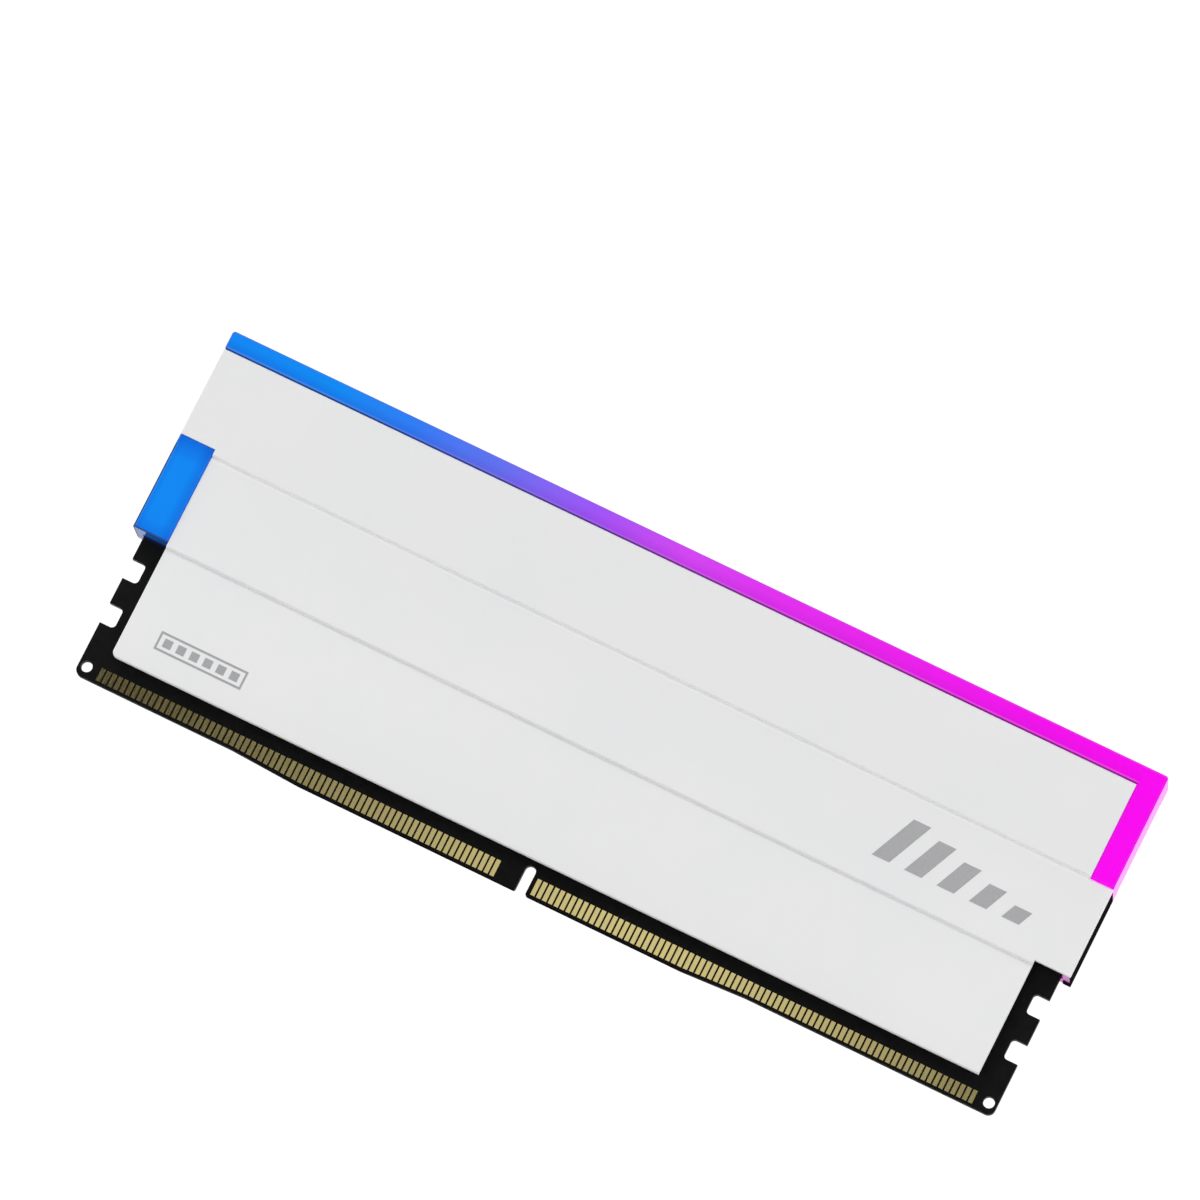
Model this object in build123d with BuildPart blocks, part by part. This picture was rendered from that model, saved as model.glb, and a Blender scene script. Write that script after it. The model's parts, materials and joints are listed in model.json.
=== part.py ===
from build123d import *
import os

# Desktop memory module: a long circuit board with gold contacts along its lower edge,
# memory chips on one side, two identical stepped heat spreaders, and a light guide that
# closes the top and runs a leg down each end. Each spreader has a low window at its own
# left end and a high one at its own right end, where a leg of the guide shows.
#
# Frame: X along the module, the front faces -Y, +Z up from the contact edge to the light
# guide. The origin is the middle of the contact edge, on the board's mid plane.
# All lengths are millimetres.

# ---- driving dimensions -------------------------------------------------------------

# circuit board
BOARD_LENGTH = 133.35
BOARD_HEIGHT = 31.25
BOARD_THICKNESS = 1.19
END_RISE = 0.5              # the contact edge is this much higher at both ends
RAMP_LEFT = (-43.5, -33.6)  # x of the left ramp, from raised end to low middle
RAMP_RIGHT = (22.1, 31.2)   # x of the right ramp, from low middle to raised end
BOARD_CORNER_RADIUS = 1.0
KEY_X = -1.225
KEY_WIDTH = 1.5
KEY_HEIGHT = 3.9
KEY_MOUTH_RADIUS = 0.3
LATCH_DEPTH = 2.1
LATCH_RADIUS = 0.6
LATCH_SPANS = ((8.05, 10.92), (14.61, 17.46))
TOOLING_HOLE_RADIUS = 0.775
TOOLING_HOLE_INSET = 1.15
TOOLING_HOLE_Z = 2.04

# edge contacts
CONTACT_PITCH = 0.85
CONTACT_WIDTH = 0.6
CONTACT_TOP = 2.72
CONTACT_GAP = 0.41          # bare board between a contact and the edge below it
CONTACT_THICKNESS = 0.04
CONTACTS_LEFT = 69
CONTACTS_RIGHT = 75
FIRST_CONTACT_INSET = 3.35  # from either end of the board to the nearest contact

# whole module
LENGTH = 136.0
HEIGHT = 50.0
THICKNESS = 8.0

# heat spreader: three bands, each set back from the one above it, with a groove between
SHEET = 0.9
BAND_STEP = 0.35
TOP_BAND = (33.95, 47.3)
MIDDLE_BAND = (20.5, 33.4)
BOTTOM_BAND = (4.4, 19.9)
GROOVE_DEPTH = 0.25         # below the lower of the two bands it parts
GROOVE_LIP_RADIUS = 0.12
INNER_BEND_RISE = 1.0       # the inner face takes each step over this height
BAND_END = 62.9             # half length of the bottom band
TOP_BAND_END = 64.65        # where the top band stops beside the high window
HIGH_WINDOW_LOW = 33.7
LOW_WINDOW_HIGH = 34.7
SPREADER_CORNER_RADIUS = 0.8
SHEET_EDGE = 0.15

# light guide, and the black film that masks each leg below the spreader's high window
CAP_LOW = 47.5
STEM_LOW = 44.6
STEM_HALF = 2.7
UPPER_LEG_HALF = 3.05
LEG_LOW = 20.9
LEG_INNER = 63.0
GUIDE_GAP = 0.08
SLOT_HALF = 0.75
SLOT_END = 66.9
GUIDE_EDGE = 0.25
FILM = 0.12
FILM_HIGH = 33.4
FILM_FLANGE_Y = 1.6         # the flange under the right leg runs from here to the rear

# memory chips and their solder
CHIP_X = (-54.5, -41.5, -28.5, -15.5, 15.5, 28.5, 41.5, 54.5)
CHIP_Z = 12.2
CHIP_WIDTH = 10.0
CHIP_HEIGHT = 11.0
CHIP_BODY = 0.85
CHIP_DIMPLE_RADIUS = 0.4
CHIP_DIMPLE_DEPTH = 0.05
CHIP_DIMPLE_INSET = 1.0
BALL_RADIUS = 0.21
BALL_HEIGHT = 0.25
BALL_PITCH = 0.8
BALL_COLUMNS = 3
BALL_ROWS = 13
BALL_BLOCK_X = 2.4

# power and control parts: place (x, z) and size (width, height, depth)
POWER_CONTROLLER_PLACE = (0, 23.8)
POWER_CONTROLLER_SIZE = (5.0, 5.0, 0.85)
SPD_HUB_PLACE = (7.6, 17.4)
SPD_HUB_SIZE = (3.0, 2.0, 0.75)
RGB_CONTROLLER_PLACE = (-21.0, 25.2)
RGB_CONTROLLER_SIZE = (4.0, 4.0, 0.8)
INDUCTOR_X = (-11.0, -6.0, 6.6)
INDUCTOR_Z = 24.2
INDUCTOR_SIZE = (3.2, 3.2, 1.5)
CAPACITOR_SIZE = (1.0, 0.5, 0.5)
CAPACITOR_PITCH = 1.7
CAPACITORS_PER_CHIP = 5
FRONT_CAPACITOR_Z = 19.4
REAR_CAPACITOR_Z = 22.4
CENTER_CAPACITOR_X = (-4.4, -2.6, 2.6, 4.4)
CENTER_CAPACITOR_Z = (8.4, 11.2, 14.0)
BULK_CAPACITOR_SIZE = (2.0, 1.25, 1.2)
BULK_CAPACITOR_X = (-13.0, -9.6, -6.2, -2.8, 2.8, 6.2, 9.6, 13.0)
BULK_CAPACITOR_Z = 29.0
RESISTOR_SIZE = (1.0, 0.5, 0.35)
RESISTOR_PITCH = 1.5
RESISTORS_PER_CHIP = 6
RESISTOR_Z = 5.35

# lighting board
LED_BOARD_LENGTH = 132.0
LED_BOARD_SPAN = (32.2, 43.6)
LED_COUNT = 10
LED_PITCH = 12.8
LED_SIZE = (3.2, 1.1, 1.5)
LED_DISH_RADIUS = 0.4
LED_DISH_DEPTH = 0.3
JOINT_PINS = 4
JOINT_PIN_PITCH = 2.0
JOINT_PIN_SIZE = (0.6, 4.0, 0.35)
JOINT_PIN_X = 24.0

# thermal pads, adhesive, ink and label
PAD_SPAN = (6.2, 18.2)
PAD_INNER = 10.0
PAD_OUTER = 60.0
PAD_CORNER_RADIUS = 0.5
POWER_PAD_SPAN = (21.4, 26.2)
POWER_PAD_HALF = 2.4
STRIP_SPAN = (44.8, 47.0)
STRIP_HALF = 62.5
INK = 0.02
LARGE_MARK_X = 37.9
LARGE_MARK_Z = (24.1, 30.6)
LARGE_MARK_BARS = 5
LARGE_MARK_BAR = 2.5
LARGE_MARK_PITCH = 4.66
LARGE_MARK_DROP = 1.1
LARGE_MARK_LEAN = 0.45
SMALL_MARK_X = (-58.3, -45.6)
SMALL_MARK_Z = (7.6, 10.2)
SMALL_MARK_LINE = 0.3
SMALL_MARK_BLOCKS = 6
SMALL_MARK_BLOCK = 1.2
SMALL_MARK_PITCH = 1.95
LABEL_X = -20.0
LABEL_WIDTH = 52.0
LABEL_HEIGHT = 12.0
LABEL_THICKNESS = 0.08
LABEL_CORNER_RADIUS = 0.8

# worked out from the above
HALF_BOARD = BOARD_LENGTH / 2
HALF_LENGTH = LENGTH / 2
HALF_THICKNESS = THICKNESS / 2
FACE = BOARD_THICKNESS / 2
CHIP_TOP = FACE + BALL_HEIGHT + CHIP_BODY
INSIDE_TOP_BAND = HALF_THICKNESS - SHEET
INSIDE_MIDDLE_BAND = INSIDE_TOP_BAND - BAND_STEP
INSIDE_BOTTOM_BAND = INSIDE_MIDDLE_BAND - BAND_STEP

os.makedirs("parts", exist_ok=True)


def save(builder, name):
    """Label a finished piece and write it under its own name."""
    builder.part.label = name
    export_step(builder.part, f"parts/{name}.step")


def front_plane(distance):
    """A plane parallel to the board, this far in front of its mid plane, normal to the front."""
    return Plane.XZ.offset(distance)


def rear_plane(distance):
    """The same behind the board, normal to the rear, with its own x along -X."""
    return Plane(origin=(0, distance, 0), x_dir=(-1, 0, 0), z_dir=(0, 1, 0))


# ---- circuit board ------------------------------------------------------------------

with BuildPart() as pcb:
    with BuildSketch(Plane.XZ) as board_outline:
        with BuildLine():
            Polyline(
                (-HALF_BOARD, END_RISE),
                (RAMP_LEFT[0], END_RISE),
                (RAMP_LEFT[1], 0),
                (RAMP_RIGHT[0], 0),
                (RAMP_RIGHT[1], END_RISE),
                (HALF_BOARD, END_RISE),
                (HALF_BOARD, BOARD_HEIGHT),
                (-HALF_BOARD, BOARD_HEIGHT),
                close=True,
            )
        make_face()
        fillet(board_outline.vertices().group_by(Axis.X)[0], BOARD_CORNER_RADIUS)
        fillet(board_outline.vertices().group_by(Axis.X)[-1], BOARD_CORNER_RADIUS)
        with Locations((KEY_X, 0)):
            SlotOverall(2 * KEY_HEIGHT, KEY_WIDTH, rotation=90, mode=Mode.SUBTRACT)
        fillet(board_outline.vertices().filter_by_position(
            Axis.X, KEY_X - KEY_WIDTH, KEY_X + KEY_WIDTH).group_by(Axis.Y)[0], KEY_MOUTH_RADIUS)
        for low, high in LATCH_SPANS:
            with Locations((-HALF_BOARD, (low + high) / 2), (HALF_BOARD, (low + high) / 2)):
                RectangleRounded(2 * LATCH_DEPTH, high - low, LATCH_RADIUS, mode=Mode.SUBTRACT)
        hole_x = HALF_BOARD - TOOLING_HOLE_INSET
        with Locations((-hole_x, TOOLING_HOLE_Z), (hole_x, TOOLING_HOLE_Z)):
            Circle(TOOLING_HOLE_RADIUS, mode=Mode.SUBTRACT)
    extrude(amount=FACE, both=True)
save(pcb, "pcb")


# ---- edge contacts ------------------------------------------------------------------

def contact_row(name, plane, first_x, count, mirrored):
    """A row of flat gold contacts. Their lower ends follow the board's stepped edge."""
    turn = -1 if mirrored else 1
    middle_x = first_x + CONTACT_PITCH * (count - 1) / 2
    with BuildPart() as row:
        with BuildSketch(plane):
            with Locations((turn * middle_x, 0)):
                with GridLocations(CONTACT_PITCH, 1, count, 1):
                    Rectangle(CONTACT_WIDTH, 3 * CONTACT_TOP)
            with BuildLine():
                Polyline(
                    (-turn * HALF_BOARD, END_RISE + CONTACT_GAP),
                    (turn * RAMP_LEFT[0], END_RISE + CONTACT_GAP),
                    (turn * RAMP_LEFT[1], CONTACT_GAP),
                    (turn * RAMP_RIGHT[0], CONTACT_GAP),
                    (turn * RAMP_RIGHT[1], END_RISE + CONTACT_GAP),
                    (turn * HALF_BOARD, END_RISE + CONTACT_GAP),
                    (turn * HALF_BOARD, CONTACT_TOP),
                    (-turn * HALF_BOARD, CONTACT_TOP),
                    close=True,
                )
            make_face(mode=Mode.INTERSECT)
        extrude(amount=CONTACT_THICKNESS)
    save(row, name)


first_left = FIRST_CONTACT_INSET - HALF_BOARD
first_right = HALF_BOARD - FIRST_CONTACT_INSET - CONTACT_PITCH * (CONTACTS_RIGHT - 1)
contact_row("contacts_front_left", front_plane(FACE), first_left, CONTACTS_LEFT, False)
contact_row("contacts_front_right", front_plane(FACE), first_right, CONTACTS_RIGHT, False)
contact_row("contacts_rear_left", rear_plane(FACE), first_left, CONTACTS_LEFT, True)
contact_row("contacts_rear_right", rear_plane(FACE), first_right, CONTACTS_RIGHT, True)


# ---- memory chips -------------------------------------------------------------------

for number, chip_x in enumerate(CHIP_X, start=1):
    with BuildPart() as dram_chip:
        with BuildSketch(front_plane(FACE + BALL_HEIGHT)):
            with Locations((chip_x, CHIP_Z)):
                Rectangle(CHIP_WIDTH, CHIP_HEIGHT)
        extrude(amount=CHIP_BODY)
        with BuildSketch(front_plane(CHIP_TOP)):
            with Locations((chip_x - CHIP_WIDTH / 2 + CHIP_DIMPLE_INSET,
                            CHIP_Z + CHIP_HEIGHT / 2 - CHIP_DIMPLE_INSET)):
                Circle(CHIP_DIMPLE_RADIUS)
        extrude(amount=-CHIP_DIMPLE_DEPTH, mode=Mode.SUBTRACT)
    save(dram_chip, f"dram_chip_{number}")

with BuildPart() as dram_solder_balls:
    with BuildSketch(front_plane(FACE)):
        with Locations(*[(x + side * BALL_BLOCK_X, CHIP_Z) for x in CHIP_X for side in (-1, 1)]):
            with GridLocations(BALL_PITCH, BALL_PITCH, BALL_COLUMNS, BALL_ROWS):
                Circle(BALL_RADIUS)
    extrude(amount=BALL_HEIGHT)
save(dram_solder_balls, "dram_solder_balls")


# ---- power and control parts on the front of the board ---------------------------------

def block_group(name, plane, places, size):
    """Equal rectangular parts standing on one plane, as one node of separate solids."""
    width, height, depth = size
    with BuildPart() as group:
        with BuildSketch(plane):
            with Locations(*places):
                Rectangle(width, height)
        extrude(amount=depth)
    save(group, name)


def beside_chips(pitch, count, z):
    """Places in a short row at this height, one row centred on each memory chip."""
    return [(x + pitch * (index - (count - 1) / 2), z) for x in CHIP_X for index in range(count)]


block_group("power_controller", front_plane(FACE), [POWER_CONTROLLER_PLACE], POWER_CONTROLLER_SIZE)
block_group("spd_hub", front_plane(FACE), [SPD_HUB_PLACE], SPD_HUB_SIZE)
block_group("rgb_controller", front_plane(FACE), [RGB_CONTROLLER_PLACE], RGB_CONTROLLER_SIZE)
for number, inductor_x in enumerate(INDUCTOR_X, start=1):
    block_group(f"power_inductor_{number}", front_plane(FACE), [(inductor_x, INDUCTOR_Z)], INDUCTOR_SIZE)

center_capacitors = [(x, z) for x in CENTER_CAPACITOR_X for z in CENTER_CAPACITOR_Z]
front_capacitors = beside_chips(CAPACITOR_PITCH, CAPACITORS_PER_CHIP, FRONT_CAPACITOR_Z) + center_capacitors
rear_capacitors = beside_chips(CAPACITOR_PITCH, CAPACITORS_PER_CHIP, REAR_CAPACITOR_Z)
bulk_places = [(x, BULK_CAPACITOR_Z) for x in BULK_CAPACITOR_X]
resistor_places = beside_chips(RESISTOR_PITCH, RESISTORS_PER_CHIP, RESISTOR_Z)
block_group("ceramic_capacitors_front", front_plane(FACE), front_capacitors, CAPACITOR_SIZE)
block_group("ceramic_capacitors_rear", rear_plane(FACE), rear_capacitors, CAPACITOR_SIZE)
block_group("bulk_capacitors", front_plane(FACE), bulk_places, BULK_CAPACITOR_SIZE)
block_group("resistor_arrays", front_plane(FACE), resistor_places, RESISTOR_SIZE)


# ---- lighting board, its solder pins and its lights ------------------------------------

with BuildPart() as led_board:
    with BuildSketch(Plane.XZ):
        with Locations((0, sum(LED_BOARD_SPAN) / 2)):
            Rectangle(LED_BOARD_LENGTH, LED_BOARD_SPAN[1] - LED_BOARD_SPAN[0])
    extrude(amount=FACE, both=True)
save(led_board, "led_board")

seam_z = (BOARD_HEIGHT + LED_BOARD_SPAN[0]) / 2
pin_places = [(JOINT_PIN_X + index * JOINT_PIN_PITCH, seam_z) for index in range(JOINT_PINS)]
block_group("led_board_pins", front_plane(FACE), pin_places, JOINT_PIN_SIZE)

for number in range(1, LED_COUNT + 1):
    led_x = LED_PITCH * (number - (LED_COUNT + 1) / 2)
    led_top = LED_BOARD_SPAN[1]
    with BuildPart() as rgb_led:
        with BuildSketch(front_plane(FACE)):
            with Locations((led_x, led_top - LED_SIZE[2] / 2)):
                Rectangle(LED_SIZE[0], LED_SIZE[2])
        extrude(amount=LED_SIZE[1])
        with BuildSketch(Plane.XY.offset(led_top)):
            with Locations((led_x, -FACE - LED_SIZE[1] / 2)):
                Circle(LED_DISH_RADIUS)
        extrude(amount=-LED_DISH_DEPTH, mode=Mode.SUBTRACT)
    save(rgb_led, f"rgb_led_{number}")


# ---- light guide --------------------------------------------------------------------

def window_fillings(plane):
    """The two places where the guide fills the openings of the spreader in front of it."""
    with BuildSketch(plane) as fillings:
        with BuildLine():
            Polyline(
                (TOP_BAND_END + GUIDE_GAP, CAP_LOW),
                (TOP_BAND_END + GUIDE_GAP, HIGH_WINDOW_LOW),
                (HALF_LENGTH, HIGH_WINDOW_LOW),
                (HALF_LENGTH, CAP_LOW),
                close=True,
            )
        make_face()
        with BuildLine():
            Polyline(
                (-HALF_LENGTH, LEG_LOW),
                (-LEG_INNER, LEG_LOW),
                (-LEG_INNER, LOW_WINDOW_HIGH - GUIDE_GAP),
                (-HALF_LENGTH, LOW_WINDOW_HIGH - GUIDE_GAP),
                close=True,
            )
        make_face()
    return fillings.sketch


masked_middle = (LEG_LOW + FILM_HIGH) / 2
masked_height = FILM_HIGH - LEG_LOW

with BuildPart() as light_guide:
    with BuildSketch(Plane.XZ):
        with BuildLine():
            Polyline(
                (-HALF_LENGTH, LEG_LOW),
                (-LEG_INNER, LEG_LOW),
                (-LEG_INNER, STEM_LOW),
                (LEG_INNER, STEM_LOW),
                (LEG_INNER, LEG_LOW),
                (HALF_LENGTH, LEG_LOW),
                (HALF_LENGTH, HEIGHT),
                (-HALF_LENGTH, HEIGHT),
                close=True,
            )
        make_face()
    extrude(amount=STEM_HALF, both=True)
    with BuildSketch(Plane.XZ):
        with Locations((0, (CAP_LOW + HEIGHT) / 2)):
            Rectangle(LENGTH, HEIGHT - CAP_LOW)
    extrude(amount=HALF_THICKNESS, both=True)
    # thicker upper legs, close behind the top bands
    leg_x = (LEG_INNER + HALF_LENGTH) / 2
    upper_leg_low = LOW_WINDOW_HIGH + GUIDE_GAP
    with BuildSketch(Plane.XZ):
        with Locations((-leg_x, (upper_leg_low + CAP_LOW) / 2), (leg_x, (upper_leg_low + CAP_LOW) / 2)):
            Rectangle(HALF_LENGTH - LEG_INNER, CAP_LOW - upper_leg_low)
    extrude(amount=UPPER_LEG_HALF, both=True)
    extrude(window_fillings(front_plane(STEM_HALF)), amount=HALF_THICKNESS - STEM_HALF)
    extrude(window_fillings(rear_plane(STEM_HALF)), amount=HALF_THICKNESS - STEM_HALF)
    # slot that takes the ends of both boards
    with BuildSketch(Plane.XZ):
        with Locations((0, (LEG_LOW + STEM_LOW) / 2)):
            Rectangle(2 * SLOT_END, STEM_LOW - LEG_LOW)
    extrude(amount=SLOT_HALF, both=True, mode=Mode.SUBTRACT)
    # below the high window of the spreader on that side, each leg has no prong beside the
    # board and is thinner at its end by the masking film
    for turn in (1, -1):
        with Locations((turn * (LEG_INNER + SLOT_END) / 2, -turn * STEM_HALF / 2, masked_middle)):
            Box(SLOT_END - LEG_INNER, STEM_HALF, masked_height, mode=Mode.SUBTRACT)
        with Locations((turn * (HALF_LENGTH - FILM / 2), 0, masked_middle)):
            Box(FILM, THICKNESS, masked_height, mode=Mode.SUBTRACT)
    outer_faces = light_guide.faces().filter_by(Axis.Y).group_by(Axis.Y)
    end_edges = light_guide.edges().filter_by(Axis.Y).group_by(Axis.Z)[-1]
    chamfer((outer_faces[0] + outer_faces[-1]).edges() + end_edges, GUIDE_EDGE)
save(light_guide, "light_guide")

# masking films, one on each end, the same way turned as the spreaders
film_near = HALF_THICKNESS - GUIDE_EDGE
film_middle_y = (film_near - STEM_HALF) / 2
for name, turn in (("light_shield_right", 1), ("light_shield_left", -1)):
    with BuildPart() as light_shield:
        with Locations((turn * (HALF_LENGTH - FILM / 2), turn * film_middle_y, masked_middle)):
            Box(FILM, film_near + STEM_HALF, masked_height)
        if turn > 0:
            flange_middle = (film_near + FILM_FLANGE_Y) / 2
            with Locations(((SLOT_END + HALF_LENGTH) / 2, flange_middle, LEG_LOW - FILM / 2)):
                Box(HALF_LENGTH - SLOT_END, film_near - FILM_FLANGE_Y, FILM)
    save(light_shield, name)


# ---- heat spreaders -----------------------------------------------------------------

def band_section():
    """Section of the sheet across the three bands: outer face down, inner face back up."""
    outer_top = HALF_THICKNESS
    outer_middle = outer_top - BAND_STEP
    outer_bottom = outer_middle - BAND_STEP
    with BuildSketch(Plane.YZ) as section:
        with BuildLine():
            Polyline(
                (-outer_top, TOP_BAND[1]),
                (-outer_top, TOP_BAND[0]),
                (-outer_middle + GROOVE_DEPTH, (TOP_BAND[0] + MIDDLE_BAND[1]) / 2),
                (-outer_middle, MIDDLE_BAND[1]),
                (-outer_middle, MIDDLE_BAND[0]),
                (-outer_bottom + GROOVE_DEPTH, (MIDDLE_BAND[0] + BOTTOM_BAND[1]) / 2),
                (-outer_bottom, BOTTOM_BAND[1]),
                (-outer_bottom, BOTTOM_BAND[0]),
                (-INSIDE_BOTTOM_BAND, BOTTOM_BAND[0]),
                (-INSIDE_BOTTOM_BAND, BOTTOM_BAND[1]),
                (-INSIDE_MIDDLE_BAND, BOTTOM_BAND[1] + INNER_BEND_RISE),
                (-INSIDE_MIDDLE_BAND, MIDDLE_BAND[1]),
                (-INSIDE_TOP_BAND, MIDDLE_BAND[1] + INNER_BEND_RISE),
                (-INSIDE_TOP_BAND, TOP_BAND[1]),
                close=True,
            )
        make_face()
        lips = [vertex for vertex in section.vertices() if vertex.Y in (TOP_BAND[0], MIDDLE_BAND[0])]
        fillet(lips, GROOVE_LIP_RADIUS)
    return section.sketch


def band_outline():
    """The spreader seen from its own front, with a window at each end for the light guide."""
    with BuildSketch(Plane.XZ) as outline:
        with BuildLine():
            Polyline(
                (-HALF_LENGTH, TOP_BAND[1]),
                (TOP_BAND_END, TOP_BAND[1]),
                (TOP_BAND_END, HIGH_WINDOW_LOW - GUIDE_GAP),
                (HALF_LENGTH, HIGH_WINDOW_LOW - GUIDE_GAP),
                (HALF_LENGTH, LEG_LOW),
                (BAND_END, LEG_LOW),
                (BAND_END, BOTTOM_BAND[0]),
                (-BAND_END, BOTTOM_BAND[0]),
                (-BAND_END, LOW_WINDOW_HIGH),
                (-HALF_LENGTH, LOW_WINDOW_HIGH),
                close=True,
            )
        make_face()
        fillet(outline.vertices().group_by(Axis.Y)[0].sort_by(Axis.X)[0], SPREADER_CORNER_RADIUS)
    return outline.sketch


def heat_spreader():
    """A front heat spreader. The rear one is the same piece turned round."""
    with BuildPart() as spreader:
        extrude(band_section(), amount=HALF_LENGTH, both=True)
        extrude(band_outline(), amount=2 * HALF_THICKNESS, mode=Mode.INTERSECT)
        top_edge = spreader.edges().filter_by(Axis.X).group_by(Axis.Z)[-1].sort_by(Axis.Y)[0]
        low_edge = spreader.edges().filter_by(Axis.X).group_by(Axis.Z)[0].sort_by(Axis.Y)[0]
        left_edge = spreader.edges().filter_by(Axis.Z).group_by(Axis.X)[0].sort_by(Axis.Y)[0]
        right_edge = spreader.edges().filter_by(Axis.Z).group_by(Axis.X)[-1].sort_by(Axis.Y)[0]
        chamfer([top_edge, low_edge, left_edge, right_edge], SHEET_EDGE)
    return spreader.part


with BuildPart() as front_heat_spreader:
    add(heat_spreader())
save(front_heat_spreader, "front_heat_spreader")

with BuildPart() as rear_heat_spreader:
    add(heat_spreader(), rotation=(0, 0, 180))
save(rear_heat_spreader, "rear_heat_spreader")


# ---- thermal pads and adhesive --------------------------------------------------------

def slab(name, near, far, low, high, x_start, x_end, side):
    """A flat pad between two depths, on the front (side -1) or the rear (side 1)."""
    with BuildPart() as pad:
        with BuildSketch(front_plane(near) if side < 0 else front_plane(-far)):
            with Locations(((x_start + x_end) / 2, (low + high) / 2)):
                RectangleRounded(x_end - x_start, high - low, PAD_CORNER_RADIUS)
        extrude(amount=far - near)
    save(pad, name)


slab("front_thermal_pad_left", CHIP_TOP, INSIDE_BOTTOM_BAND, *PAD_SPAN, -PAD_OUTER, -PAD_INNER, -1)
slab("front_thermal_pad_right", CHIP_TOP, INSIDE_BOTTOM_BAND, *PAD_SPAN, PAD_INNER, PAD_OUTER, -1)
slab("rear_thermal_pad_left", FACE, INSIDE_BOTTOM_BAND, *PAD_SPAN, -PAD_OUTER, -PAD_INNER, 1)
slab("rear_thermal_pad_right", FACE, INSIDE_BOTTOM_BAND, *PAD_SPAN, PAD_INNER, PAD_OUTER, 1)
slab("power_thermal_pad", FACE + POWER_CONTROLLER_SIZE[2], INSIDE_MIDDLE_BAND, *POWER_PAD_SPAN,
     -POWER_PAD_HALF, POWER_PAD_HALF, -1)
slab("front_adhesive_strip", STEM_HALF, INSIDE_TOP_BAND, *STRIP_SPAN, -STRIP_HALF, STRIP_HALF, -1)
slab("rear_adhesive_strip", STEM_HALF, INSIDE_TOP_BAND, *STRIP_SPAN, -STRIP_HALF, STRIP_HALF, 1)


# ---- printed marks and label ----------------------------------------------------------

def large_mark():
    """Five leaning bars of falling height, drawn on the spreader's own front view."""
    with BuildSketch(Plane.XZ) as bars:
        for index in range(LARGE_MARK_BARS):
            left = LARGE_MARK_X + index * LARGE_MARK_PITCH
            top = LARGE_MARK_Z[1] - index * LARGE_MARK_DROP
            lean = LARGE_MARK_LEAN * (top - LARGE_MARK_Z[0])
            with BuildLine():
                Polyline(
                    (left, LARGE_MARK_Z[0]),
                    (left + LARGE_MARK_BAR, LARGE_MARK_Z[0]),
                    (left + LARGE_MARK_BAR + lean, top),
                    (left + lean, top),
                    close=True,
                )
            make_face()
    return bars.sketch


def small_mark():
    """A thin frame round a row of square blocks, like a plain drawing of a module."""
    width = SMALL_MARK_X[1] - SMALL_MARK_X[0]
    height = SMALL_MARK_Z[1] - SMALL_MARK_Z[0]
    with BuildSketch(Plane.XZ) as drawing:
        with Locations((sum(SMALL_MARK_X) / 2, sum(SMALL_MARK_Z) / 2)):
            Rectangle(width, height)
            Rectangle(width - 2 * SMALL_MARK_LINE, height - 2 * SMALL_MARK_LINE, mode=Mode.SUBTRACT)
            with GridLocations(SMALL_MARK_PITCH, 1, SMALL_MARK_BLOCKS, 1):
                Rectangle(SMALL_MARK_BLOCK, SMALL_MARK_BLOCK)
    return drawing.sketch


def printed(name, drawing, depth, turn):
    """Ink of a drawing on a band face at this depth, turned to the front (0) or rear (180)."""
    with BuildPart() as ink:
        extrude(drawing, amount=INK)
    placed = Rot(0, 0, turn) * Pos(0, -depth, 0) * ink.part
    with BuildPart() as mark:
        add(placed)
    save(mark, name)


middle_face = HALF_THICKNESS - BAND_STEP
bottom_face = middle_face - BAND_STEP
printed("front_print_large", large_mark(), middle_face, 0)
printed("front_print_small", small_mark(), bottom_face, 0)
printed("rear_print_large", large_mark(), middle_face, 180)

with BuildPart() as rear_label:
    with BuildSketch(rear_plane(bottom_face)):
        with Locations((LABEL_X, sum(BOTTOM_BAND) / 2)):
            RectangleRounded(LABEL_WIDTH, LABEL_HEIGHT, LABEL_CORNER_RADIUS)
    extrude(amount=LABEL_THICKNESS)
save(rear_label, "rear_label")
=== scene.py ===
import json
import math

import bpy
from mathutils import Euler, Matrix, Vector


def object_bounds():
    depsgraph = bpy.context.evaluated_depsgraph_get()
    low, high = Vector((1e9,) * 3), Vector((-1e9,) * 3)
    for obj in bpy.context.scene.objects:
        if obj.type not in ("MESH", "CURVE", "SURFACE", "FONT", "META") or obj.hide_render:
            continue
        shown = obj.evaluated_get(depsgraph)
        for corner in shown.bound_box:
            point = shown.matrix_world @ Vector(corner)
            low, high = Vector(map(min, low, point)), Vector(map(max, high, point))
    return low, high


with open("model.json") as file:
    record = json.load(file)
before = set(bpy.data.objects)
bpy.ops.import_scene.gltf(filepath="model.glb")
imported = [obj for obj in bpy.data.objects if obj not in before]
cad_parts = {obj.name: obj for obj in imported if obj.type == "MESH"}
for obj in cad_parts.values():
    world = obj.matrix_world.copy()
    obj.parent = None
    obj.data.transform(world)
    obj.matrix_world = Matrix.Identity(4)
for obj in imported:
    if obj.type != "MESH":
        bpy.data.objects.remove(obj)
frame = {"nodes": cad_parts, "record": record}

cad_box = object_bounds()

MM = 0.001
nodes = frame["nodes"]
low, high = cad_box

# most of a noise texture's values lie between these two
GRAIN_LOW, GRAIN_HIGH = 0.3, 0.7

# painted light on the white coat, lighter low down, heights in mm: (height where it is greatest,
# height where it is 1, greatest level), and painted light gained in the two grooves: (height of
# the middle, half width, gain)
LOW_PAINTED_LIGHT = (6.0, 36.0, 1.07)
GROOVE_PAINTED_LIGHT = ((33.6, 0.5, 0.13), (20.15, 0.5, 0.02))

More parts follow.
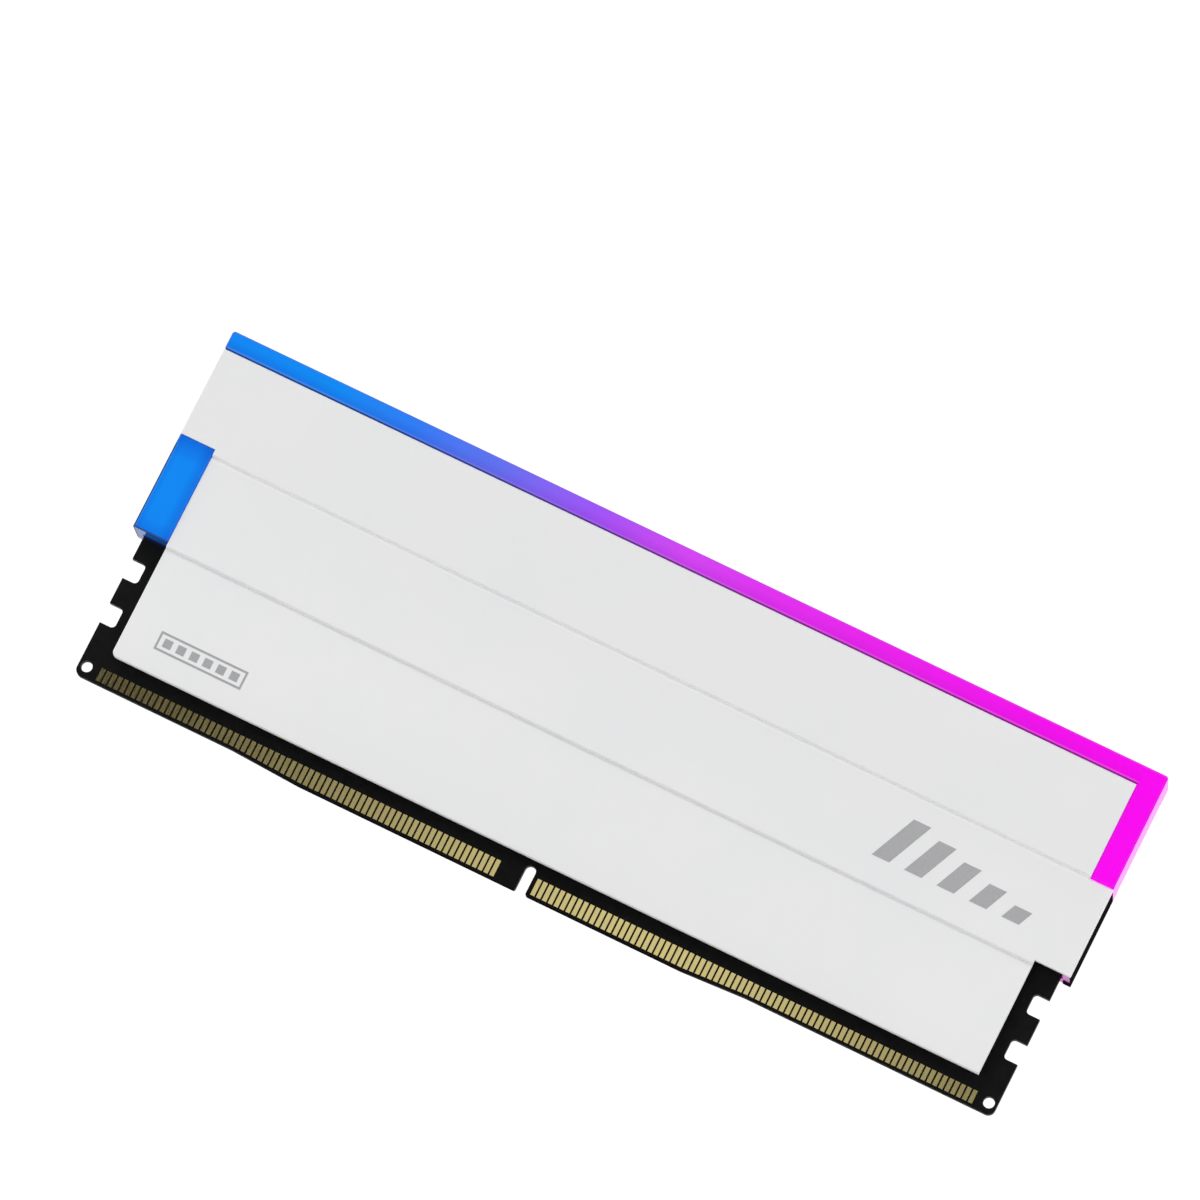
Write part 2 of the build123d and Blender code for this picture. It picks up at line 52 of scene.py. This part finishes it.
GLOW = 0.62        # share of the light guide's colour that is its own light
DIM = 0.3          # share of that light left on the surfaces the lamps don't reach
BEVEL_PAINTED_HIGHLIGHT = 0.08  # share of white on the bar's lower bevel, a painted highlight
PAINTED_SPILL = 0.14       # strength of the light guide's light painted on the board just under its leg blocks, a painted pool of light

# light colours along the module, linear: (place from 0 at the left end to 1 at the right, colour)
CORE_HUE = (
    (0.02, (0.005, 0.245, 0.90)),
    (0.12, (0.004, 0.25, 0.89)),
    (0.20, (0.028, 0.200, 0.90)),
    (0.29, (0.114, 0.165, 0.86)),
    (0.39, (0.33, 0.090, 0.92)),
    (0.49, (0.64, 0.060, 0.88)),
    (0.58, (0.74, 0.030, 0.86)),
    (0.68, (0.81, 0.016, 0.84)),
    (0.87, (0.88, 0.004, 0.83)),
    (0.99, (0.95, 0.002, 0.87)),
)
RIM_HUE = (
    (0.02, (0.003, 0.09, 0.62)),
    (0.20, (0.012, 0.085, 0.62)),
    (0.39, (0.25, 0.035, 0.65)),
    (0.58, (0.50, 0.012, 0.62)),
    (0.99, (0.70, 0.003, 0.64)),
)
# dark base colour for the stem, the bar's underside and the legs' undersides: painted shade in
# the gaps and under them
SHADED_STEM_COLOUR = (0.06, 0.06, 0.10, 1)

# x times y, in square metres, is positive at the front left and the rear right, where the
# spreader's top band covers the leg. Each pair goes from outside those two corners to inside
# them, the first on the light guide and the second on the board.
LEG_SIDE = (1.85e-4, 1.90e-4)
BOARD_SIDE = (2.0e-5, 3.0e-5)

# soft steps in mm, each from outside a region to inside it. The first six are heights, the
# last two distances from the middle along the module.
NEAR_BLOCK_FOOT = (20.35, 20.95)
ABOVE_LEG_END = (21.0, 21.2)
BELOW_BAND = (34.8, 34.7)
IN_SEAM = (47.20, 47.25)
IN_BAR = (47.52, 47.56)
IN_BEVEL = (47.78, 47.70)
IN_LEG = (64.6, 64.7)
BESIDE_BAR_FOOT = (64.2, 65.0)

# the light guide's colour goes from rim to core inwards from each edge: (edge, place where the
# core colour is full, share of the core colour at the edge), in mm. A top or foot is a height,
# the others are distances from the middle along the module.
BLOCK_TOP = (34.6, 31.5, 0.35)
BLOCK_FOOT = (20.9, 23.0, 0.6)
BLOCK_INNER = (63.0, 64.6, 0.5)
BLOCK_OUTER = (68.0, 66.9, 0.6)
BAR_TOP = (50.0, 49.65, 0.40)
BAR_FOOT = (47.7, 49.0, 0.6)
BAR_END = (68.0, 67.6, 0.4)

TRACK_PITCH = 0.85 * MM
WAVE_BANDS = 3.18            # bands in a metre that a wave texture draws at scale 1

# surfaces of one grain: darkest and lightest colour, grains in a metre, least and greatest
# roughness, other settings
GRAINED = {
    "grey_ink": ((0.36, 0.36, 0.375), (0.40, 0.40, 0.415), 4000.0, (0.5, 0.6), {}),
    "label_silver": ((0.58, 0.59, 0.61), (0.64, 0.65, 0.67), 2500.0, (0.35, 0.5), {}),
    "chip_black": ((0.014, 0.014, 0.015), (0.024, 0.024, 0.026), 6000.0, (0.55, 0.7), {}),
    "solder": ((0.55, 0.55, 0.57), (0.68, 0.68, 0.70), 8000.0, (0.2, 0.35), {"metallic": 1.0}),
    "inductor_grey": ((0.10, 0.10, 0.11), (0.17, 0.17, 0.18), 7000.0, (0.6, 0.8), {}),
    "ceramic_tan": ((0.30, 0.19, 0.11), (0.40, 0.27, 0.16), 5000.0, (0.4, 0.55), {}),
    "led_white": ((0.78, 0.78, 0.74), (0.86, 0.86, 0.83), 3000.0, (0.3, 0.4), {}),
    "thermal_pad": ((0.36, 0.39, 0.44), (0.46, 0.49, 0.54), 3000.0, (0.7, 0.85),
                    {"relief": 0.03 * MM}),
    "adhesive": ((0.02, 0.02, 0.02), (0.035, 0.035, 0.035), 3500.0, (0.8, 0.9), {}),
    # near-black strips at the module's ends: dark parts that stand in for the shade in the gaps
    # there
    "shield_black": ((0.007, 0.006, 0.007), (0.011, 0.009, 0.011), 5000.0, (0.8, 0.9),
                     {"specular": 0.0}),
}

# the surround: strength of its white, and its dim part, which starts and is full at these
# cosines of the angle from straight in front
WHITE = 1.06
DIM_START, DIM_FULL = 0.60, 0.92
DIM_STRENGTH = 0.05
LEAST_FORWARD = 0.05         # keeps the slopes finite
# the bright strip in the dim part, in slopes from straight in front: where its middle is, how
# wide its falloff is, where its ends fade, and its level through the falloff
STRIP_ACROSS = -0.121
STRIP_WIDTH = 0.08
STRIP_UP = (0.25, 0.40)
STRIP_FALL = ((0.0, 1.0), (0.14, 0.90), (0.30, 0.60), (0.46, 0.12), (0.62, 0.0))

# area lights: name, place, width and height in metres, power in watts
LIGHTS = (
    ("key", (-0.9, -1.0, 0.8), 1.2, 1.2, 5.2),
    ("fill", (0.9, -0.9, 0.16), 0.8, 0.3, 2.2),
)
LIGHT_TARGET = (0, 0, 0.02)

FLOOR_RADIUS = 3.0           # metres
FLOOR_CORNERS = 96
FLOOR_GAP = 0.05 * MM

CAMERA_PLACE = (0.1758, -1.3274, -0.1799)    # metres
CAMERA_DEGREES = (-25.915, 11.832, 2.979)    # roll, tilt, turn
CAMERA_LENS = 312.38                         # mm


# ---- material helpers -----------------------------------------------------------------

def new_material(name):
    """An empty node material with its Principled shader joined to the output."""
    material = bpy.data.materials.new(name)
    material.use_nodes = True
    tree = material.node_tree
    shader = next(n for n in tree.nodes if n.type == "BSDF_PRINCIPLED")
    return material, tree, shader


def node(tree, kind, **settings):
    """A node of this kind, with its plain properties set by name."""
    made = tree.nodes.new(kind)
    for key, value in settings.items():
        setattr(made, key, value)
    return made


def object_place(tree):
    """The place on the piece, in metres in the shared frame."""
    return node(tree, "ShaderNodeTexCoord").outputs["Object"]


def axis_value(tree, axis):
    """One coordinate of the place on the piece, in metres."""
    split = node(tree, "ShaderNodeSeparateXYZ")
    tree.links.new(object_place(tree), split.inputs["Vector"])
    return split.outputs[axis]


def noise(tree, scale, detail=3.0, place=None):
    """Noise over the piece. scale is in grains per metre."""
    texture = node(tree, "ShaderNodeTexNoise")
    texture.inputs["Scale"].default_value = scale
    texture.inputs["Detail"].default_value = detail
    tree.links.new(place or object_place(tree), texture.inputs["Vector"])
    return texture.outputs["Fac"]


def remap(tree, value, start, end, to_start, to_end):
    """The value moved from one range to another, clamped."""
    mapped = node(tree, "ShaderNodeMapRange", clamp=True)
    for name, number in (("From Min", start), ("From Max", end),
                         ("To Min", to_start), ("To Max", to_end)):
        mapped.inputs[name].default_value = number
    tree.links.new(value, mapped.inputs["Value"])
    return mapped.outputs["Result"]


def step(tree, value, outside, inside):
    """0 outside a region and 1 inside it, softly between two places in mm."""
    return remap(tree, value, outside * MM, inside * MM, 0.0, 1.0)


def fade(tree, value, edge, inside, share):
    """A share at an edge, rising to 1 at a place inside it, both places in mm."""
    return remap(tree, value, edge * MM, inside * MM, share, 1.0)


def vary(tree, grain, least, most):
    """A number between two, by a noise value."""
    return remap(tree, grain, GRAIN_LOW, GRAIN_HIGH, least, most)


def ramp(tree, value, stops):
    """A colour ramp over the value. stops are (place, colour) pairs."""
    made = node(tree, "ShaderNodeValToRGB")
    elements = made.color_ramp.elements
    while len(elements) < len(stops):
        elements.new(0.5)
    for element, (place, colour) in zip(elements, stops):
        element.position = place
        element.color = (*colour, 1)
    tree.links.new(value, made.inputs["Fac"])
    return made.outputs["Color"]


def tint(tree, grain, dark, light):
    """A colour between two, by a noise value."""
    return ramp(tree, grain, ((GRAIN_LOW, dark), (GRAIN_HIGH, light)))


def hue_along(tree, x, stops):
    """The light's colour at this distance along the module."""
    return ramp(tree, remap(tree, x, low.x, high.x, 0.0, 1.0), stops)


def calculate(tree, operation, *values):
    """A math node over values that are numbers or other nodes' outputs."""
    made = node(tree, "ShaderNodeMath", operation=operation)
    for socket, value in zip(made.inputs, values):
        if isinstance(value, (int, float)):
            socket.default_value = value
        else:
            tree.links.new(value, socket)
    return made.outputs["Value"]


def product(tree, first, *others):
    """All the values multiplied."""
    for other in others:
        first = calculate(tree, "MULTIPLY", first, other)
    return first


def rest_of(tree, value):
    """1 less the value."""
    return calculate(tree, "SUBTRACT", 1.0, value)


def distance_from(tree, value, middle):
    """How far the value is from a middle, to either side."""
    return calculate(tree, "ABSOLUTE", calculate(tree, "SUBTRACT", value, middle))


def blend(tree, factor, first, second):
    """The first colour where the factor is 0, the second where it is 1."""
    made = node(tree, "ShaderNodeMix", data_type="RGBA")
    tree.links.new(factor, made.inputs["Factor"])
    for socket, colour in ((made.inputs["A"], first), (made.inputs["B"], second)):
        if isinstance(colour, tuple):
            socket.default_value = colour
        else:
            tree.links.new(colour, socket)
    return made.outputs["Result"]


def bump(tree, shader, height, strength, distance):
    """Small relief from a height field, distance in metres."""
    made = node(tree, "ShaderNodeBump")
    made.inputs["Strength"].default_value = strength
    made.inputs["Distance"].default_value = distance
    tree.links.new(height, made.inputs["Height"])
    tree.links.new(made.outputs["Normal"], shader.inputs["Normal"])


# ---- materials ------------------------------------------------------------------------

def white_paint():
    """Satin powder coat: fine orange peel, a very slight change of tone, and painted light low
    down and in the grooves.
    """
    material, tree, shader = new_material("white_paint")
    tone = tint(tree, noise(tree, 60.0, detail=2.0), (0.765, 0.77, 0.775), (0.785, 0.785, 0.785))
    # painted light: the coat is a little lighter low down and in the two grooves
    z = axis_value(tree, "Z")
    greatest_at, one_at, greatest = LOW_PAINTED_LIGHT
    level = remap(tree, z, greatest_at * MM, one_at * MM, greatest, 1.0)
    for middle, half, gain in GROOVE_PAINTED_LIGHT:
        away = distance_from(tree, z, middle * MM)
        level = calculate(tree, "ADD", level, remap(tree, away, 0.0, half * MM, gain, 0.0))
    painted_light_coat = node(tree, "ShaderNodeVectorMath", operation="SCALE")
    tree.links.new(tone, painted_light_coat.inputs[0])
    tree.links.new(level, painted_light_coat.inputs["Scale"])
    tree.links.new(painted_light_coat.outputs["Vector"], shader.inputs["Base Color"])
    peel = noise(tree, 5200.0, detail=2.0)
    tree.links.new(vary(tree, peel, 0.42, 0.52), shader.inputs["Roughness"])
    shader.inputs["Specular IOR Level"].default_value = 0.35
    bump(tree, shader, peel, 0.35, 0.012 * MM)
    return material


def lit_diffuser():
    """Milky guide lit from inside, from blue through violet to magenta, deeper at its rims, with
    painted shade on its stem and undersides and a painted highlight on the bar's lower bevel.
    """
    material, tree, shader = new_material("lit_diffuser")
    x, y, z = (axis_value(tree, axis) for axis in "XYZ")
    end = calculate(tree, "ABSOLUTE", x)

    # at the front left and the rear right the spreader's top band covers the leg, and the lower
    # leg block fills the window below it
    behind_band = remap(tree, product(tree, x, y), *LEG_SIDE, 0.0, 1.0)
    block = product(tree, step(tree, z, *BELOW_BAND), behind_band)
    block_core = product(
        tree,
        fade(tree, z, *BLOCK_TOP),
        fade(tree, z, *BLOCK_FOOT),
        fade(tree, end, *BLOCK_INNER),
        fade(tree, end, *BLOCK_OUTER))

    # the bar's foot is a little deeper, but not where an uncovered leg comes up to it
    beside_foot = product(tree, step(tree, end, *BESIDE_BAR_FOOT), rest_of(tree, behind_band))
    bar_core = product(
        tree,
        calculate(tree, "MAXIMUM", fade(tree, z, *BAR_FOOT), beside_foot),
        fade(tree, z, *BAR_TOP),
        fade(tree, end, *BAR_END))

    core = calculate(
        tree, "ADD",
        product(tree, block, block_core),
        product(tree, rest_of(tree, block), bar_core))
    hue = blend(tree, core, hue_along(tree, x, RIM_HUE), hue_along(tree, x, CORE_HUE))

    # dimmer where the lamps don't reach: on the stem, under the bar and under the legs, where the
    # base colour also turns dark as painted shade
    in_bar = step(tree, z, *IN_BAR)
    in_seam = product(tree, behind_band, step(tree, z, *IN_SEAM))
    in_leg = product(
        tree,
        calculate(tree, "MAXIMUM", step(tree, end, *IN_LEG), block),
        step(tree, z, *ABOVE_LEG_END),
        rest_of(tree, in_seam))
    lit = remap(tree, calculate(tree, "MAXIMUM", in_bar, in_leg), 0.0, 1.0, DIM, 1.0)

    body = node(tree, "ShaderNodeMix", data_type="RGBA", blend_type="MULTIPLY")
    body.inputs["Factor"].default_value = 1.0
    tree.links.new(blend(tree, lit, SHADED_STEM_COLOUR, hue), body.inputs["A"])
    body.inputs["B"].default_value = (1.0 - GLOW, 1.0 - GLOW, 1.0 - GLOW, 1)
    tree.links.new(body.outputs["Result"], shader.inputs["Base Color"])

    # painted highlight: a little white in the glow on the bar's lower bevel
    bevel_highlight = product(
        tree, step(tree, z, *IN_BEVEL), in_bar, rest_of(tree, beside_foot), BEVEL_PAINTED_HIGHLIGHT)
    tree.links.new(blend(tree, bevel_highlight, hue, (1, 1, 1, 1)), shader.inputs["Emission Color"])
    cloud = vary(tree, noise(tree, 220.0), 0.98, 1.02)
    tree.links.new(product(tree, lit, cloud, GLOW), shader.inputs["Emission Strength"])
    shader.inputs["Roughness"].default_value = 0.2
    shader.inputs["Specular IOR Level"].default_value = 0.12
    bump(tree, shader, noise(tree, 3000.0), 0.2, 0.01 * MM)
    return material


def solder_mask():
    """Black mask over faint copper tracks, with a little of the guide's light painted on it under
    the leg blocks.
    """
    material, tree, shader = new_material("board_black")
    grain = noise(tree, 900.0)
    tone = tint(tree, grain, (0.0032, 0.0032, 0.0036), (0.0052, 0.0052, 0.0056))
    tree.links.new(tone, shader.inputs["Base Color"])
    tree.links.new(vary(tree, grain, 0.42, 0.55), shader.inputs["Roughness"])
    shader.inputs["Specular IOR Level"].default_value = 0.10

    x, y, z = (axis_value(tree, axis) for axis in "XYZ")
    # painted light: the guide's glow painted onto the board just under its leg blocks
    block_side = remap(tree, product(tree, x, y), *BOARD_SIDE, 0.0, 1.0)
    near = product(tree, step(tree, z, *NEAR_BLOCK_FOOT), block_side)
    painted_spill = product(tree, calculate(tree, "POWER", near, 2.0), PAINTED_SPILL)
    tree.links.new(hue_along(tree, x, RIM_HUE), shader.inputs["Emission Color"])
    tree.links.new(painted_spill, shader.inputs["Emission Strength"])

    tracks = node(tree, "ShaderNodeTexWave",
                  wave_type="BANDS", bands_direction="X", wave_profile="SIN")
    tracks.inputs["Scale"].default_value = 1.0 / TRACK_PITCH / WAVE_BANDS
    tracks.inputs["Distortion"].default_value = 0.6
    tree.links.new(object_place(tree), tracks.inputs["Vector"])
    relief = remap(tree, tracks.outputs["Fac"], 0.45, 0.55, 0.0, 1.0)
    bump(tree, shader, relief, 0.25, 0.01 * MM)
    return material


def gold():
    """Hard gold plating with fine scratches along Z."""
    material, tree, shader = new_material("contact_gold")
    stretch = node(tree, "ShaderNodeMapping")
    stretch.inputs["Scale"].default_value = (1.0, 1.0, 0.08)
    tree.links.new(object_place(tree), stretch.inputs["Vector"])
    scratches = noise(tree, 9000.0, detail=2.0, place=stretch.outputs["Vector"])
    tone = tint(tree, scratches, (0.79, 0.66, 0.26), (0.86, 0.74, 0.33))
    tree.links.new(tone, shader.inputs["Base Color"])
    tree.links.new(vary(tree, scratches, 0.08, 0.12), shader.inputs["Roughness"])
    shader.inputs["Metallic"].default_value = 1.0
    return material


def grained(name, dark, light, scale, rough, metallic=0.0, relief=0.0, specular=0.5):
    """A surface whose colour and roughness vary softly at one grain size."""
    material, tree, shader = new_material(name)
    grain = noise(tree, scale)
    tree.links.new(tint(tree, grain, dark, light), shader.inputs["Base Color"])
    tree.links.new(vary(tree, grain, *rough), shader.inputs["Roughness"])
    shader.inputs["Metallic"].default_value = metallic
    shader.inputs["Specular IOR Level"].default_value = specular
    if relief:
        bump(tree, shader, grain, 0.5, relief)
    return material


MATERIALS = {
    "white_paint": white_paint(),
    "lit_diffuser": lit_diffuser(),
    "board_black": solder_mask(),
    "contact_gold": gold(),
}
for slot, (dark, light, scale, rough, others) in GRAINED.items():
    MATERIALS[slot] = grained(slot, dark, light, scale, rough, **others)

for part in frame["record"]["subparts"]:
    mesh = nodes[part["node"]].data
    mesh.materials.clear()
    mesh.materials.append(MATERIALS[part["material_slot"]])


# ---- floor ----------------------------------------------------------------------------

def floor_paint():
    """Pale paint on the side that faces up, and nothing to be seen from underneath."""
    material, tree, shader = new_material("floor_pale")
    tone = tint(tree, noise(tree, 3.0), (0.86, 0.86, 0.86), (0.89, 0.89, 0.89))
    tree.links.new(tone, shader.inputs["Base Color"])
    shader.inputs["Roughness"].default_value = 0.6
    shader.inputs["Specular IOR Level"].default_value = 0.0
    underneath = node(tree, "ShaderNodeNewGeometry").outputs["Backfacing"]
    clear = node(tree, "ShaderNodeBsdfTransparent")
    mix = node(tree, "ShaderNodeMixShader")
    output = next(n for n in tree.nodes if n.type == "OUTPUT_MATERIAL")
    tree.links.new(underneath, mix.inputs["Fac"])
    tree.links.new(shader.outputs["BSDF"], mix.inputs[1])
    tree.links.new(clear.outputs["BSDF"], mix.inputs[2])
    tree.links.new(mix.outputs["Shader"], output.inputs["Surface"])
    return material


def round_floor():
    """A round floor just under the contact edge."""
    angles = [2 * math.pi * i / FLOOR_CORNERS for i in range(FLOOR_CORNERS)]
    points = [(FLOOR_RADIUS * math.cos(angle), FLOOR_RADIUS * math.sin(angle), 0)
              for angle in angles]
    mesh = bpy.data.meshes.new("floor")
    mesh.from_pydata(points, [], [list(range(FLOOR_CORNERS))])
    mesh.materials.append(floor_paint())
    floor = bpy.data.objects.new("floor", mesh)
    floor.location.z = low.z - FLOOR_GAP
    bpy.context.scene.collection.objects.link(floor)


round_floor()


# ---- light ----------------------------------------------------------------------------

def area_light(name, place, width, height, power):
    """A soft rectangular light at a place, aimed at the module."""
    data = bpy.data.lights.new(name, "AREA")
    data.shape = "RECTANGLE"
    data.size = width
    data.size_y = height
    data.energy = power
    lamp = bpy.data.objects.new(name, data)
    lamp.location = place
    aim = Vector(LIGHT_TARGET) - Vector(place)
    lamp.rotation_euler = aim.to_track_quat("-Z", "Y").to_euler()
    bpy.context.scene.collection.objects.link(lamp)


def white_world():
    """A white surround. Light and reflections meet a dim part in front, with a bright strip."""
    world = bpy.data.worlds.new("studio")
    bpy.context.scene.world = world
    world.use_nodes = True
    tree = world.node_tree
    background = next(n for n in tree.nodes if n.type == "BACKGROUND")
    split = node(tree, "ShaderNodeSeparateXYZ")
    tree.links.new(node(tree, "ShaderNodeTexCoord").outputs["Generated"], split.inputs["Vector"])

    # the front is towards -Y
    forward = calculate(
        tree, "MAXIMUM", product(tree, split.outputs["Y"], -1.0), LEAST_FORWARD)
    surround = remap(tree, forward, DIM_START, DIM_FULL, WHITE, DIM_STRENGTH)
    across = calculate(tree, "DIVIDE", split.outputs["X"], forward)
    up = calculate(tree, "DIVIDE", split.outputs["Z"], forward)
    off_middle = remap(
        tree, distance_from(tree, across, STRIP_ACROSS), 0.0, STRIP_WIDTH, 0.0, 1.0)
    strip = ramp(tree, off_middle, [(place, (grey, grey, grey)) for place, grey in STRIP_FALL])
    span = remap(tree, calculate(tree, "ABSOLUTE", up), *STRIP_UP, 1.0, 0.0)
    reflected = calculate(tree, "MAXIMUM", surround, product(tree, strip, span))

    # seen directly, the surround is even
    seen = product(tree, node(tree, "ShaderNodeLightPath").outputs["Is Camera Ray"], WHITE)
    level = calculate(tree, "MAXIMUM", reflected, seen)
    tree.links.new(level, background.inputs["Strength"])
    background.inputs["Color"].default_value = (1, 1, 1, 1)


white_world()
for light in LIGHTS:
    area_light(*light)


# ---- camera ---------------------------------------------------------------------------

def long_lens_camera():
    """The view of the module: a long lens, low and to the right, rolled so that it slants."""
    data = bpy.data.cameras.new("camera")
    data.sensor_fit = "HORIZONTAL"
    data.sensor_width = 36.0
    data.lens = CAMERA_LENS
    data.clip_start = 0.01
    data.clip_end = 20.0
    camera = bpy.data.objects.new("camera", data)
    camera.location = CAMERA_PLACE
    # roll about Y, then tilt about the rolled X, then turn about the new Z, from a view along +Y
    roll, tilt, turn = (math.radians(degrees) for degrees in CAMERA_DEGREES)
    facing = Euler((0, roll, 0)).to_matrix()
    for angles in ((tilt, 0, 0), (0, 0, turn), (math.radians(90), 0, 0)):
        facing = facing @ Euler(angles).to_matrix()
    camera.rotation_euler = facing.to_euler()
    bpy.context.scene.collection.objects.link(camera)
    bpy.context.scene.camera = camera


long_lens_camera()
bpy.context.scene.view_settings.view_transform = "Standard"
